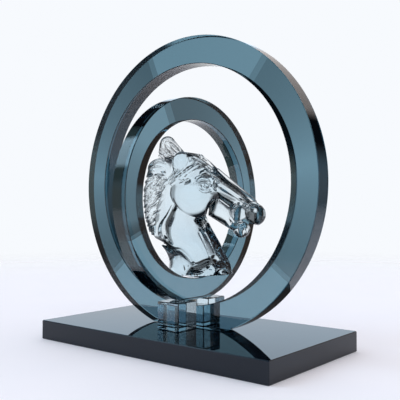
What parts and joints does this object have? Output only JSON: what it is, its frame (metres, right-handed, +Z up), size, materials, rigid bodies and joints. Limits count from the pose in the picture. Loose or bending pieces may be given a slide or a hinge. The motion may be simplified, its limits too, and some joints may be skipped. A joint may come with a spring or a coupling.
{
  "type": "crystal horse head figurine",
  "caption": "Clear crystal horse head ornament standing inside crossed smoky blue glass rings, carried by clear glass blocks on a polished black glass base.",
  "frame": {"origin": "middle of the underside of the base", "axes": "+Z up, +X along the long side of the base and the plane of the large ring, +Y along the short side of the base and the plane of the small ring"},
  "size_m": [0.302, 0.207, 0.3153],
  "materials": {
    "black_glass": "solid black glass, mirror polished",
    "smoky_glass": "smoky teal-blue crystal, polished, ground edges",
    "clear_crystal": "clear colourless crystal, polished"
  },
  "bodies": {
    "root": {"base": "black_glass", "front_block": "clear_crystal", "back_block": "clear_crystal", "large_ring": "smoky_glass", "small_ring": "smoky_glass", "horse_head": "clear_crystal"}
  },
  "joints": []
}
